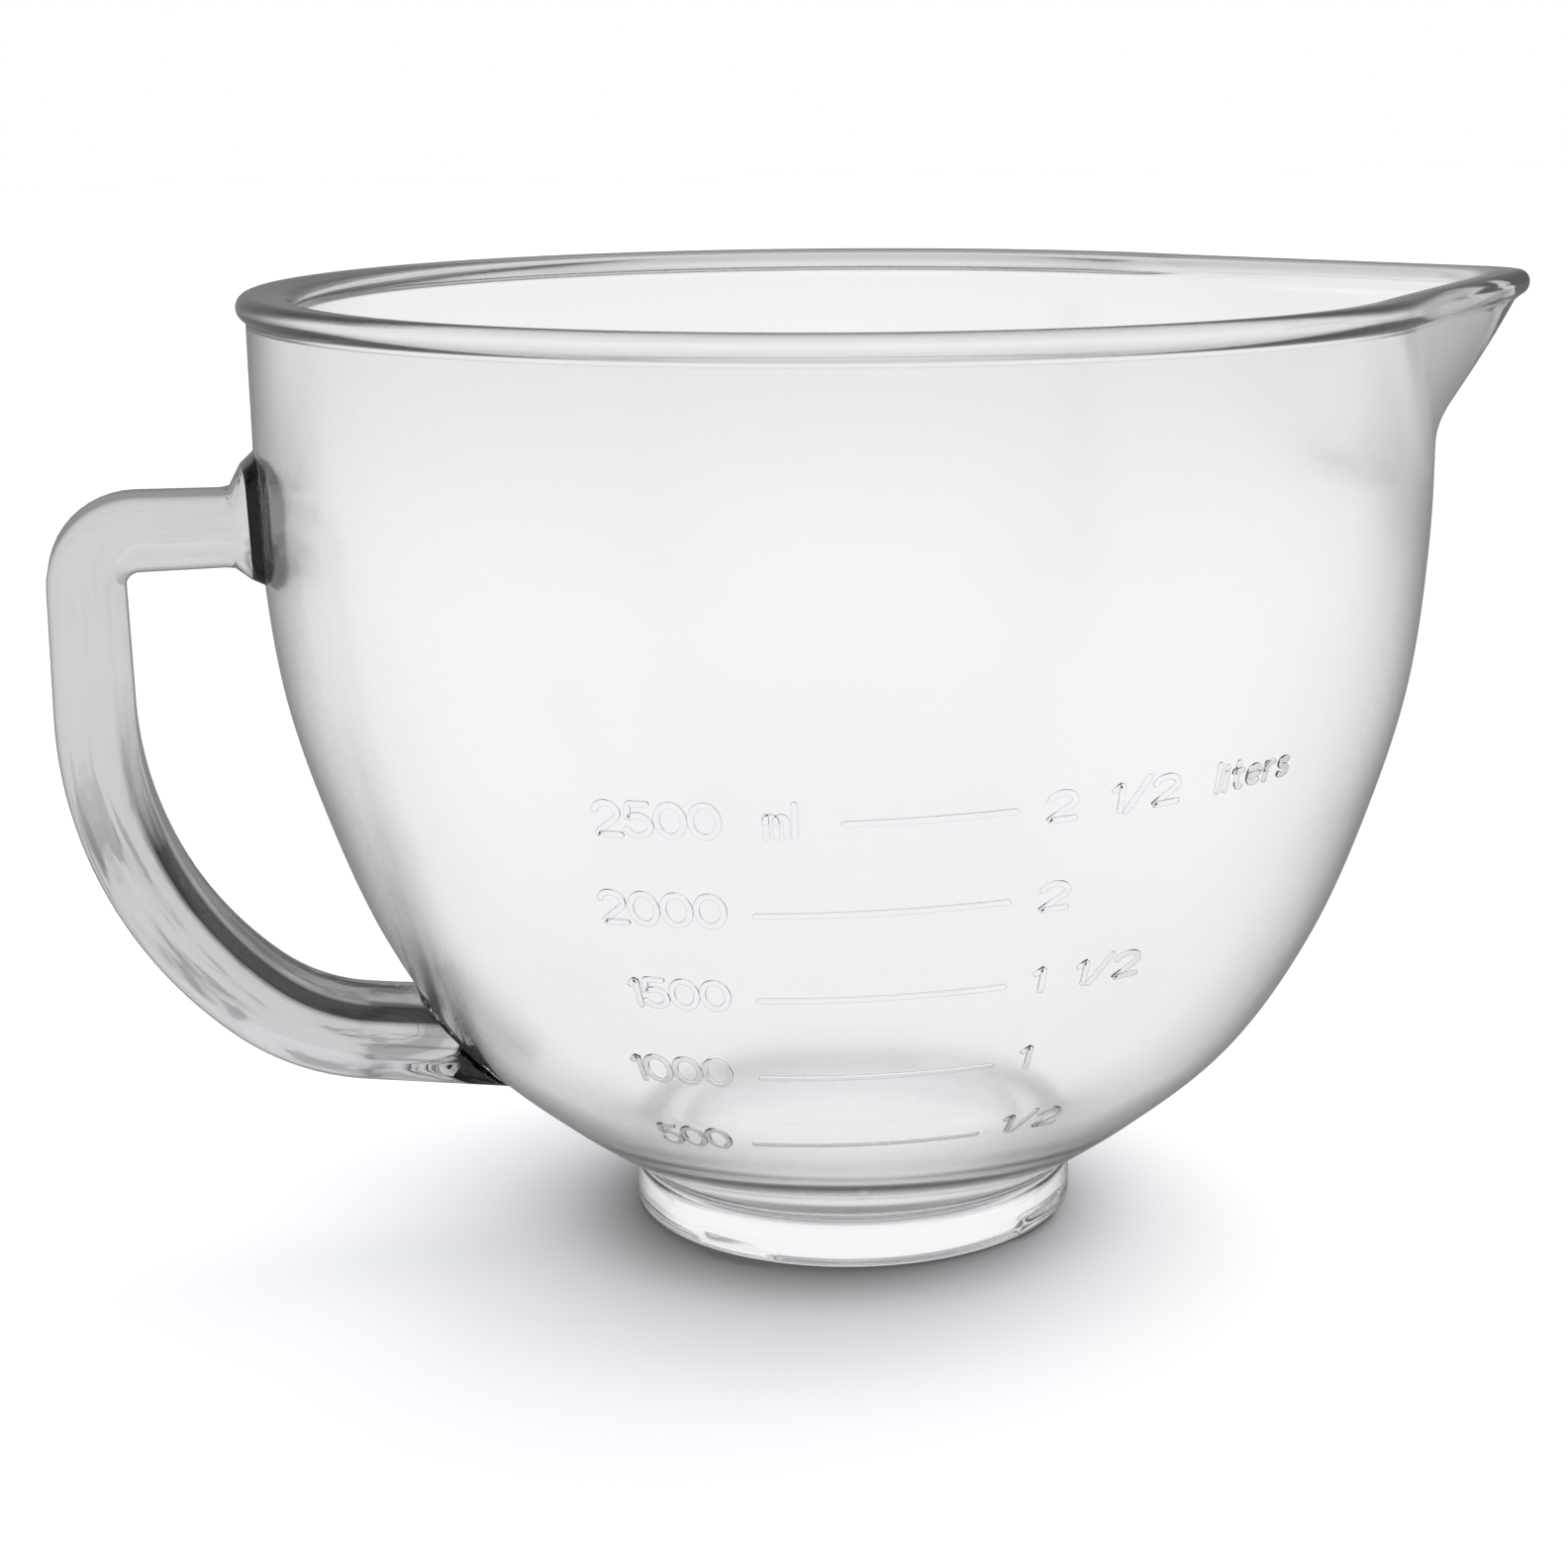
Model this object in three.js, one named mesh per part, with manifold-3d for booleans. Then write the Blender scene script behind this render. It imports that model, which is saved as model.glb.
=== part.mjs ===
// A clear pressed-glass stand-mixer bowl: deep round body with a thick rim, a pour spout,
// a fused-on handle, a twist-lock foot and a raised volume scale. Sizes are in millimetres and angles
// in degrees.
// +Z is up, the spout points along +X, the handle along -X and the scale faces -Y.
// The origin lies under the middle of the bowl's overall length, in the plane that the foot stands on.
import * as THREE from 'three';
import { mergeVertices } from 'three/addons/utils/BufferGeometryUtils.js';
import Module from 'manifold-3d';

const wasm = await Module();
wasm.setup();

// ---- driving dimensions ----
const HEIGHT = 191.5;
const WALL_RADIUS = 117.2;
const MOUTH_RADIUS = 108;
const WALL_THICKNESS = 5;
const MOUTH_BLEND = [95, 185];
const JOINT_GAP = 0.3;
const CUT_MARGIN = 10;

const RIM_RADIUS = 119;
const RIM_DEPTH = 5;

const FOOT_RADIUS = 45.9;
const FOOT_HEIGHT = 11.5;
const FOOT_BORE = 38.5;
const FOOT_EDGE = 1.5;
const RECESS_DEPTH = 8.3;
const FLOOR_HEIGHT = 16.5;
const FLOOR_BLEND = 2;
const FLOOR_CHAMFER = 5;
const LUG_COUNT = 4;
const LUG_SPAN = 26;
const LUG_REACH = 1.8;
const LUG_BOTTOM = 0.8;
const LUG_HEIGHT = 4.2;
const LUG_TAPER = 0.85;
const LUG_SEGMENTS = 8;

const SPOUT_REACH = 147;
const SPOUT_START = 154;
const SPOUT_BULGE = 0.25;
const SPOUT_TIP_RADIUS = 12;
const SPOUT_ROOT_RADIUS = 70;
const SPOUT_LIP = 13;
const SPOUT_HALF_WIDTH = 74;
const SPOUT_CUT_START = 50;
const CUT_SEGMENTS = 24;

const HANDLE_LEVEL = 147.5;
const HANDLE_WIDTH = 22;
const HANDLE_ROUNDING = 5;
const HANDLE_THICKNESS = { top: 13.6, side: 16, bottom: 17 };
const HANDLE_ROOT = 6;
const JOINT_DEPTH = 3.6;
const JOINT_FLARE = 5;

const FIRST_MARK = 39.8;
const MARK_PITCH = 17.35;
const MARK_VOLUMES = [500, 1000, 1500, 2000, 2500];
const SHORT_BAR_VOLUME = 2500;
const BAR_LENGTH = 44;
const SHORT_BAR_LENGTH = 30;
const BAR_STEPS = 10;
const BAR_THICKNESS = 1.2;
const BAR_CLEARANCE = 0.4;
const BAR_LIFT = BAR_THICKNESS / 2 + BAR_CLEARANCE;
const WALL_SAMPLES = 400;
const SCALE_CENTRE = -10.3;
const SCALE_LEAN = 2.2;

const OUTSIDE_STEPS = 18;
const INSIDE_STEPS = 16;
const SEGMENTS = 72;
const SEGMENT_BUNCHING = 0.7;

// The outside of the wall from the foot to the rim, as radius and height.
const OUTSIDE = [
  [FOOT_RADIUS, FOOT_HEIGHT],
  [65, 25.3],
  [83, 42],
  [97, 64.5],
  [107, 90],
  [113.8, 115],
  [116.8, 143],
  [WALL_RADIUS, 170],
  [WALL_RADIUS, HEIGHT],
];

const radians = THREE.MathUtils.degToRad;
const lerp = THREE.MathUtils.lerp;
const clamp = THREE.MathUtils.clamp;
const point = (x, y) => new THREE.Vector2(x, y);

// ---- solids and meshes ----
function solidOf(geometry) {
  const bare = new THREE.BufferGeometry();
  bare.setAttribute('position', geometry.attributes.position.clone());
  if (geometry.index) bare.setIndex(geometry.index.clone());
  const merged = mergeVertices(bare, 1e-3);
  const index = merged.index.array;
  const triVerts = [];
  for (let i = 0; i < index.length; i += 3) {
    const [a, b, c] = [index[i], index[i + 1], index[i + 2]];
    if (a !== b && b !== c && c !== a) triVerts.push(a, b, c);
  }
  const vertProperties = new Float32Array(merged.attributes.position.array);
  const mesh = new wasm.Mesh({ numProp: 3, vertProperties, triVerts: new Uint32Array(triVerts) });
  return new wasm.Manifold(mesh);
}

function glassMesh(name, solid) {
  const { vertProperties, triVerts } = solid.getMesh();
  const geometry = new THREE.BufferGeometry();
  geometry.setAttribute('position', new THREE.BufferAttribute(new Float32Array(vertProperties), 3));
  geometry.setIndex(new THREE.BufferAttribute(new Uint32Array(triVerts), 1));
  geometry.computeVertexNormals();
  const material = new THREE.MeshStandardMaterial({ color: 0xe9edf0, roughness: 0.05, metalness: 0 });
  const mesh = new THREE.Mesh(geometry, material);
  mesh.name = name;
  return mesh;
}

// ---- the teardrop plan of the wall at the spout ----
// How far up the spout a height is, from 0 at its root to 1 at the rim.
const spoutRise = (height) => clamp((height - SPOUT_START) / (HEIGHT - SPOUT_START), 0, 1);

// How far the outside of the spout reaches from the bowl's axis at a height.
// Its underside bulges a little.
function spoutReach(height) {
  const rise = spoutRise(height);
  return lerp(WALL_RADIUS, SPOUT_REACH, rise * (1 + SPOUT_BULGE * (1 - rise)));
}

// The spout is broad at its root and narrow at its tip.
function tipRadius(draw) {
  const share = Math.sqrt(clamp(draw / (SPOUT_REACH - WALL_RADIUS), 0, 1));
  return lerp(SPOUT_ROOT_RADIUS, SPOUT_TIP_RADIUS, share);
}

// Radius at an angle from the spout: a circle, and two tangents from it to a smaller circle at the tip.
function teardrop(angle, radius, reach) {
  if (reach <= radius) return radius;
  const tip = tipRadius(reach - radius);
  const tipCentre = reach - tip;
  const turn = Math.acos((radius - tip) / tipCentre);
  const tipEdge = Math.atan2(tip * Math.sin(turn), tipCentre + tip * Math.cos(turn));
  const away = Math.abs(angle);
  if (away >= turn) return radius;
  if (away >= tipEdge) return radius / Math.cos(turn - away);
  return tipCentre * Math.cos(away) + Math.sqrt(tip ** 2 - (tipCentre * Math.sin(away)) ** 2);
}

// Turns an outline round the Z axis and draws it out to the reach given for each height. The segments are
// bunched towards the spout, where the wall turns sharply.
function revolve(outline, reachAt = () => 0) {
  const geometry = new THREE.LatheGeometry(outline, SEGMENTS);
  geometry.rotateX(Math.PI / 2);
  const position = geometry.attributes.position;
  for (let i = 0; i < position.count; i += 1) {
    const radius = Math.hypot(position.getX(i), position.getY(i));
    const height = position.getZ(i);
    const even = Math.atan2(position.getY(i), position.getX(i));
    const angle = even - SEGMENT_BUNCHING * Math.sin(even);
    const drawn = teardrop(angle, radius, reachAt(height));
    position.setXYZ(i, drawn * Math.cos(angle), drawn * Math.sin(angle), height);
  }
  return solidOf(geometry);
}

// ---- outlines of the wall ----
const outsideCurve = new THREE.SplineCurve(OUTSIDE.map(([radius, height]) => point(radius, height)));

// The wall's outline moved away from its outside, outwards where distance is positive.
function wallOutline(distanceAt, steps) {
  const outline = [];
  for (let i = 0; i <= steps; i += 1) {
    const at = outsideCurve.getPoint(i / steps);
    const tangent = outsideCurve.getTangent(i / steps);
    const distance = distanceAt(at.y);
    outline.push(point(at.x + tangent.y * distance, at.y - tangent.x * distance));
  }
  return outline;
}

// Wall thickness at a height: even low down, then growing inwards towards the rim.
function thicknessAt(height) {
  const growth = THREE.MathUtils.smoothstep(height, ...MOUTH_BLEND);
  return lerp(WALL_THICKNESS, WALL_RADIUS - MOUTH_RADIUS, growth);
}

// The wall's outside as a filled solid, grown by a distance all over.
function filledWall(growth) {
  const wall = wallOutline(() => growth, OUTSIDE_STEPS);
  const bottom = FOOT_HEIGHT - growth;
  return revolve([point(0, bottom), point(wall[0].x, bottom), ...wall.slice(1), point(0, HEIGHT)],
    (height) => (height < SPOUT_START ? 0 : spoutReach(height) + growth));
}

function hollow() {
  const above = HEIGHT + CUT_MARGIN;
  const wall = wallOutline((height) => -thicknessAt(height), INSIDE_STEPS)
    .filter(({ y }) => y > FLOOR_HEIGHT + FLOOR_BLEND);
  const lip = (height) => lerp(WALL_THICKNESS, SPOUT_LIP, spoutRise(height));
  return revolve([point(0, FLOOR_HEIGHT), point(wall[0].x - FLOOR_CHAMFER, FLOOR_HEIGHT), ...wall,
    point(MOUTH_RADIUS, above), point(0, above)],
  (height) => (height < SPOUT_START ? 0 : spoutReach(height) - lip(height)));
}

function disc(radius, bottom, top) {
  return revolve([point(0, bottom), point(radius, bottom), point(radius, top), point(0, top)]);
}

// A half ellipse that stands across the wall and bounds the spout.
function spoutCutter(growth) {
  const shape = new THREE.Shape();
  const depth = HEIGHT - SPOUT_START + growth;
  shape.absellipse(0, HEIGHT, SPOUT_HALF_WIDTH + growth, depth, Math.PI, 2 * Math.PI);
  shape.lineTo(SPOUT_HALF_WIDTH + growth, HEIGHT + CUT_MARGIN);
  shape.lineTo(-SPOUT_HALF_WIDTH - growth, HEIGHT + CUT_MARGIN);
  const length = SPOUT_REACH - SPOUT_CUT_START + CUT_MARGIN;
  const settings = { depth: length, bevelEnabled: false, curveSegments: CUT_SEGMENTS };
  const geometry = new THREE.ExtrudeGeometry(shape, settings);
  geometry.rotateX(Math.PI / 2);
  geometry.rotateZ(Math.PI / 2);
  geometry.translate(SPOUT_CUT_START, 0, 0);
  return solidOf(geometry);
}

// ---- body ----
function bodyMeshes() {
  const whole = filledWall(0).subtract(hollow());
  const boss = disc(FOOT_BORE - JOINT_GAP, RECESS_DEPTH, FOOT_HEIGHT + 1);
  const rimBottom = HEIGHT - RIM_DEPTH;
  const rimZone = disc(RIM_RADIUS + CUT_MARGIN, rimBottom - JOINT_GAP, HEIGHT + CUT_MARGIN);
  const wall = whole.add(boss).subtract(spoutCutter(JOINT_GAP)).subtract(rimZone);
  const spout = whole.intersect(spoutCutter(0));
  return [
    glassMesh('bowl_wall', wall),
    glassMesh('pour_spout', spout),
    glassMesh('rim_bead', rimRing(rimBottom).subtract(spoutCutter(JOINT_GAP))),
  ];
}

// The thick rim: a rounded ring that stands proud of the wall on the outside.
function rimRing(bottom) {
  const middle = (bottom + HEIGHT) / 2;
  const half = RIM_DEPTH / 2;
  const outline = [point(MOUTH_RADIUS, bottom), point(WALL_RADIUS, bottom)];
  for (let angle = -60; angle <= 60; angle += 30) {
    const [across, up] = [Math.cos(radians(angle)), Math.sin(radians(angle))];
    outline.push(point(RIM_RADIUS - half + half * across, middle + half * up));
  }
  outline.push(point(RIM_RADIUS - half, HEIGHT), point(MOUTH_RADIUS + half, HEIGHT));
  outline.push(point(MOUTH_RADIUS, HEIGHT - half), point(MOUTH_RADIUS, bottom));
  return revolve(outline);
}

// ---- foot ----
function footRing() {
  const top = FOOT_HEIGHT - JOINT_GAP;
  const outline = [
    point(FOOT_BORE, 0),
    point(FOOT_RADIUS - FOOT_EDGE, 0),
    point(FOOT_RADIUS, FOOT_EDGE),
    point(FOOT_RADIUS, top),
    point(FOOT_BORE, top),
    point(FOOT_BORE, 0),
  ];
  return glassMesh('foot_ring', revolve(outline));
}

function footLug(index) {
  const inner = FOOT_RADIUS + JOINT_GAP;
  const shape = new THREE.Shape();
  const half = radians(LUG_SPAN / 2);
  shape.absarc(0, 0, inner + LUG_REACH, -half * LUG_TAPER, half * LUG_TAPER, false);
  shape.absarc(0, 0, inner, half, -half, true);
  const settings = { depth: LUG_HEIGHT, bevelEnabled: false, curveSegments: LUG_SEGMENTS };
  const geometry = new THREE.ExtrudeGeometry(shape, settings);
  geometry.rotateZ(radians(360 / LUG_COUNT) * (index + 0.5));
  geometry.translate(0, 0, LUG_BOTTOM);
  return glassMesh(`foot_lug_${index + 1}`, solidOf(geometry));
}

// ---- handle ----
// Walks from a start point by straights and turns to the right, and gives each point with its heading.
function walk(start, moves) {
  const path = [];
  let { x, y } = start;
  let heading = 0;
  let travelled = 0;
  for (const { length, turn = 0, steps = 1 } of moves) {
    for (let i = 0; i < steps; i += 1) {
      path.push({ x, y, heading, travelled });
      const step = length / steps;
      heading -= radians(turn / steps) / 2;
      x += step * Math.cos(heading);
      y += step * Math.sin(heading);
      heading -= radians(turn / steps) / 2;
      travelled += step;
    }
  }
  path.push({ x, y, heading, travelled });
  return path;
}

const arc = (radius, turn, steps) => ({ length: radius * radians(turn), turn, steps });

// Out from the wall, down a corner, and round in two arcs to the wall's underside.
const HANDLE_MOVES = [
  { length: 28.5, steps: 8 },
  arc(10, 90, 6),
  { length: 24.5, steps: 2 },
  arc(78, 50, 8),
  arc(42, 32, 5),
  { length: 30, steps: 5 },
];

function handlePath() {
  return walk(point(WALL_RADIUS - HANDLE_ROOT, HANDLE_LEVEL), HANDLE_MOVES);
}

// The handle seen from the side, less the rounding that the bevel adds back.
// It thickens towards the bottom and flares into the wall at the top.
function handleShape() {
  const path = handlePath();
  const end = path.at(-1).travelled;
  const { top, side, bottom } = HANDLE_THICKNESS;
  const upper = [];
  const lower = [];
  for (const { x, y, heading, travelled } of path) {
    const along = travelled / end;
    const thickness = along < 0.5 ? lerp(top, side, along * 2) : lerp(side, bottom, along * 2 - 1);
    const flare = JOINT_FLARE * clamp(1 - (travelled - HANDLE_ROOT) / (2 * JOINT_FLARE), 0, 1) ** 2;
    const half = thickness / 2 + flare - HANDLE_ROUNDING;
    upper.push(point(x - half * Math.sin(heading), y + half * Math.cos(heading)));
    lower.push(point(x + half * Math.sin(heading), y - half * Math.cos(heading)));
  }
  return new THREE.Shape([...upper, ...lower.reverse()]);
}

function handleMeshes() {
  const depth = HANDLE_WIDTH - 2 * HANDLE_ROUNDING;
  const geometry = new THREE.ExtrudeGeometry(handleShape(), {
    depth,
    bevelSize: HANDLE_ROUNDING,
    bevelThickness: HANDLE_ROUNDING,
    bevelSegments: 3,
  });
  geometry.rotateX(Math.PI / 2);
  geometry.translate(0, depth / 2, 0);
  geometry.rotateZ(Math.PI);
  const whole = solidOf(geometry);
  const joints = whole.intersect(filledWall(JOINT_DEPTH)).subtract(filledWall(JOINT_GAP));
  const middle = (HANDLE_LEVEL + FIRST_MARK) / 2;
  const reach = WALL_RADIUS + CUT_MARGIN;
  return [
    glassMesh('handle_grip', whole.subtract(filledWall(JOINT_DEPTH + JOINT_GAP))),
    glassMesh('upper_handle_joint', joints.subtract(disc(reach, 0, middle))),
    glassMesh('lower_handle_joint', joints.intersect(disc(reach, 0, middle))),
  ];
}

// ---- volume scale ----
// The wall's outside at a height, and the direction straight out of it, both as radius and height.
function wallAt(height) {
  let best = 0;
  for (let i = 1; i <= WALL_SAMPLES; i += 1) {
    const off = (step) => Math.abs(outsideCurve.getPoint(step / WALL_SAMPLES).y - height);
    if (off(i) < off(best)) best = i;
  }
  const tangent = outsideCurve.getTangent(best / WALL_SAMPLES);
  return { radius: outsideCurve.getPoint(best / WALL_SAMPLES).x, out: point(tangent.y, -tangent.x) };
}

// A bar follows the wall and leans up towards the spout. Angles count from the front (-Y) towards the spout.
function scaleBar(volume, index) {
  const level = FIRST_MARK + index * MARK_PITCH;
  const length = volume === SHORT_BAR_VOLUME ? SHORT_BAR_LENGTH : BAR_LENGTH;
  const wallRadius = wallAt(level).radius;
  const right = radians(SCALE_CENTRE) + BAR_LENGTH / 2 / wallRadius;
  const route = [];
  for (let i = 0; i <= BAR_STEPS; i += 1) {
    const angle = right - (length / wallRadius) * (1 - i / BAR_STEPS);
    const height = level + Math.tan(radians(SCALE_LEAN)) * wallRadius * Math.sin(angle);
    const wall = wallAt(height);
    const radius = wall.radius + wall.out.x * BAR_LIFT;
    const lifted = height + wall.out.y * BAR_LIFT;
    route.push(new THREE.Vector3(radius * Math.sin(angle), -radius * Math.cos(angle), lifted));
  }
  const section = new THREE.Shape();
  section.absarc(0, 0, BAR_THICKNESS / 2, 0, 2 * Math.PI);
  const extrudePath = new THREE.CatmullRomCurve3(route);
  const geometry = new THREE.ExtrudeGeometry(section, { steps: BAR_STEPS, curveSegments: 4, extrudePath });
  return glassMesh(`scale_bar_${volume}_ml`, solidOf(geometry));
}

// ---- assembly ----
const handleReach = Math.max(...handlePath().map(({ x }) => x)) + HANDLE_THICKNESS.side / 2;
const bowl = new THREE.Group();
bowl.add(...bodyMeshes(), footRing(), ...handleMeshes());
for (let i = 0; i < LUG_COUNT; i += 1) bowl.add(footLug(i));
MARK_VOLUMES.forEach((volume, index) => bowl.add(scaleBar(volume, index)));
bowl.position.x = (handleReach - SPOUT_REACH) / 2;

export default bowl;
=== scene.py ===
"""The look of a clear pressed-glass mixing bowl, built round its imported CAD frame.

Shapes are worked out in millimetres round the bowl's own axis, with the spout along +X, and are turned into
metres in the shared frame when their meshes are made.
"""
import math

import bpy
import numpy as np
from mathutils import Matrix, Vector


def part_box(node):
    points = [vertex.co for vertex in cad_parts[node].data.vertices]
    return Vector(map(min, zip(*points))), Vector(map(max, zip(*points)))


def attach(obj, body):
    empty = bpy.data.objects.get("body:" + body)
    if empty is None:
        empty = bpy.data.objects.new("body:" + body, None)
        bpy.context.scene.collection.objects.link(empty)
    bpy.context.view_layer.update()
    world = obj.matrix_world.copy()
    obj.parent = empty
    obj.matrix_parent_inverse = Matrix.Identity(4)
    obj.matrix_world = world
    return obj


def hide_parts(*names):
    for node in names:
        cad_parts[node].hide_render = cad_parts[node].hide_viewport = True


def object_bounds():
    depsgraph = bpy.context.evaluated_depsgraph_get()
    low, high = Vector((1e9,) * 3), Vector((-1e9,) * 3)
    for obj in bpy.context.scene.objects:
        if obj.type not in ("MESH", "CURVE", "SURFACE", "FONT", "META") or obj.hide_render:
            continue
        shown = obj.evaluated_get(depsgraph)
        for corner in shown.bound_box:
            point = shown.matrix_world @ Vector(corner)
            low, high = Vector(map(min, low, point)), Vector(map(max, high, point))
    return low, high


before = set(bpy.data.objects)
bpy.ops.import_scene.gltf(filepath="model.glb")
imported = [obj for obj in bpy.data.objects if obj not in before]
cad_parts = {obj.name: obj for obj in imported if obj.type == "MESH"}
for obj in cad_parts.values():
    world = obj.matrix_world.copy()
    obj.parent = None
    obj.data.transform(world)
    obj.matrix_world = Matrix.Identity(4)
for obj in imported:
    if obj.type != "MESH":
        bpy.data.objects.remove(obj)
cad_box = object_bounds()

MM = 0.001

# ---- driving dimensions, in millimetres and degrees, as in the CAD part ----
foot_low, foot_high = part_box("foot_ring")
AXIS_X = (foot_low[0] + foot_high[0]) / 2
HEIGHT = cad_box[1][2] / MM
WALL_RADIUS = 117.2
MOUTH_RADIUS = 108.0
WALL_THICKNESS = 5.0
MOUTH_BLEND = (95.0, 185.0)
MIDDLE_RADIUS = 0.6
MIDDLE_ROWS = 10
OUTLINE_STEPS = 400
INNER_STEPS = 90
OUTER_STEPS = 110
ROW_GAP = 0.4
OUTSIDE = [
    (45.9, 11.5),
    (65, 25.3),
    (83, 42),
    (97, 64.5),
    (107, 90),
    (113.8, 115),
    (116.8, 143),
    (WALL_RADIUS, 170),
    (WALL_RADIUS, HEIGHT),
]

RIM_RADIUS = 119.0
RIM_DEPTH = 5.0
RIM_CROWN = 0.5
RIM_INNER_ROUNDING = 3.0
RIM_ARC_STEPS = 8
BEAD_ROWS = 14
BEAD_END = -math.pi / 2.4

FOOT_RADIUS = 45.9
FOOT_BORE = 38.5
RECESS_DEPTH = 8.3
RECESS_ROUNDING = 3.0
FOOT_EDGE = 1.5
FOOT_NECK_ROUNDING = 1.6
FOOT_WALL_ROWS = 12
FOOT_WALL_LOW = 1.8
FLAT_MARGIN = 2.0
FLOOR_HEIGHT = 16.5
FLOOR_ROUNDING = 60.0
FLOOR_BLEND = 12.0
LUG_COUNT = 4
LUG_SPAN = 26.0
LUG_REACH = 1.0
LUG_MIDDLE = 2.9
LUG_HALF_HEIGHT = 2.1
LUG_FLAT_SHARE = (0.55, 0.3)

SPOUT_REACH = 147.5
SPOUT_START = 154.0
SPOUT_BULGE = 0.28
SPOUT_TIP_RADIUS = 12.0
SPOUT_ROOT_RADIUS = 70.0
SPOUT_TIP_LIMIT = 0.9
SPOUT_LIP = 13.0
BEAD_FADE = (28.0, 46.0)

HANDLE_LEVEL = 147.5
HANDLE_ROOT = 6.0
HANDLE_WIDTH = 22.0
HANDLE_ROUNDING = 5.0
HANDLE_THICKNESS = (13.6, 16.0, 17.0)
HANDLE_RUNS = [  # each run's length, turn and number of steps
    (28.5, 0, 16),
    (10 * math.pi / 2, 90, 12),
    (24.5, 0, 8),
    (78 * math.radians(50), 50, 24),
    (42 * math.radians(32), 32, 12),
    (30, 0, 16),
]
ROOT_STEP = 3
CORNER_STEPS = 7
UPPER_WELD_DEPTH = 2.6
LOWER_WELD_DEPTH = 1.2
WELD_FLARE = 5.5
WELD_RISE = 1.5
WELD_FADE = 6.0
LOWER_WELD_SPREAD = 1.06
WELD_ROWS = 5
AIR_FILM = 0.03
SLIDE_LIMIT = 40.0
SLIDE_HALVINGS = 40
END_SHARES = (0.8, 0.55, 0.3, 0.1)

FIRST_MARK = 40.3
MARK_PITCH = 17.35
BAR_LENGTH = 44.0
SCALE_CENTRE = -10.3
SCALE_LEAN = 2.2
STROKE_WIDTH = 1.25
STROKE_RELIEF = 0.28
STROKE_FLANK = [(0.92, 0.0), (1.0, 0.0), (0.98, 0.5), (0.86, 0.9), (0.7, 1.0), (0.55, 1.0)]
STROKE_TIP_ANGLES = (85, 60, 35, 15)
STROKE_PITCH = 0.35
SLOPE_STEP = 0.5
LETTER_HEIGHT = 5.9
RIGHT_LETTER_SHARE = (1.08, 0.84)

COLUMNS = 300
COLUMN_BUNCHING = 0.7


# ---- small helpers ----
def smoothstep(x, low, high):
    """0 below a low value and 1 above a high one, with a smooth rise between."""
    t = np.clip((np.asarray(x, dtype=float) - low) / (high - low), 0, 1)
    return t * t * (3 - 2 * t)


def catmull_rom(points, t):
    """Point on the uniform spline that the CAD part uses, for t from 0 to 1."""
    points = np.asarray(points, dtype=float)
    last = len(points) - 1
    p = t * last
    i = min(int(p), last - 1)
    w = p - i
    a, b, c, d = points[max(i - 1, 0)], points[i], points[i + 1], points[min(i + 2, last)]
    slope_b, slope_c = (c - a) / 2, (d - b) / 2
    return (
        (2 * b - 2 * c + slope_b + slope_c) * w**3
        + (-3 * b + 3 * c - 2 * slope_b - slope_c) * w**2
        + slope_b * w
        + b
    )


def spline(points, steps):
    return np.array([catmull_rom(points, i / steps) for i in range(steps + 1)])


def fillet(before, corner, after, radius, steps=6):
    """Points of an arc that rounds a corner of an outline."""
    before, corner, after = (np.asarray(p, dtype=float) for p in (before, corner, after))
    u = (before - corner) / np.linalg.norm(before - corner)
    v = (after - corner) / np.linalg.norm(after - corner)
    half = math.acos(float(np.clip(u @ v, -1, 1))) / 2
    start = corner + u * radius / math.tan(half)
    middle = (u + v) / np.linalg.norm(u + v)
    centre = corner + middle * radius / math.sin(half)
    a, b = start - centre, corner + v * radius / math.tan(half) - centre
    angle = math.acos(float(np.clip(a @ b / radius**2, -1, 1)))
    return [
        centre + (a * math.sin(angle * (1 - i / steps)) + b * math.sin(angle * i / steps)) / math.sin(angle)
        for i in range(steps + 1)
    ]


def to_frame(points):
    """Millimetres round the bowl's axis to metres in the shared frame."""
    points = np.asarray(points, dtype=float) * MM
    return points + np.array([AXIS_X, 0, 0])


def make_piece(name, points, faces, material, replaces=(), flow=None):
    """A piece from points in millimetres. Its flow gives the material a painted shade or a place along a
    sweep.
    """
    mesh = bpy.data.meshes.new(name)
    mesh.from_pydata([tuple(p) for p in to_frame(points)], [], faces)
    if flow is not None:
        mesh.attributes.new("flow", "FLOAT_VECTOR", "POINT").data.foreach_set("vector", np.ravel(flow))
    mesh.validate()
    mesh.shade_smooth()
    mesh.materials.append(material)
    piece = bpy.data.objects.new(name, mesh)
    bpy.context.scene.collection.objects.link(piece)
    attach(piece, "root")
    if replaces:
        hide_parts(*replaces)
    return piece


def grid_faces(rows, columns, closed_columns=True, offset=0):
    """Quads between rows of points."""
    faces = []
    last = columns if closed_columns else columns - 1
    for i in range(rows - 1):
        for j in range(last):
            k = (j + 1) % columns
            a, b = offset + i * columns, offset + (i + 1) * columns
            faces.append((a + j, a + k, b + k, b + j))
    return faces


# ---- the wall's outline ----
OUTSIDE_LINE = spline(OUTSIDE, OUTLINE_STEPS)


def wall_radius(height):
    """The outside radius of the plain wall at a height."""
    return np.interp(height, OUTSIDE_LINE[:, 1], OUTSIDE_LINE[:, 0])


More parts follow.
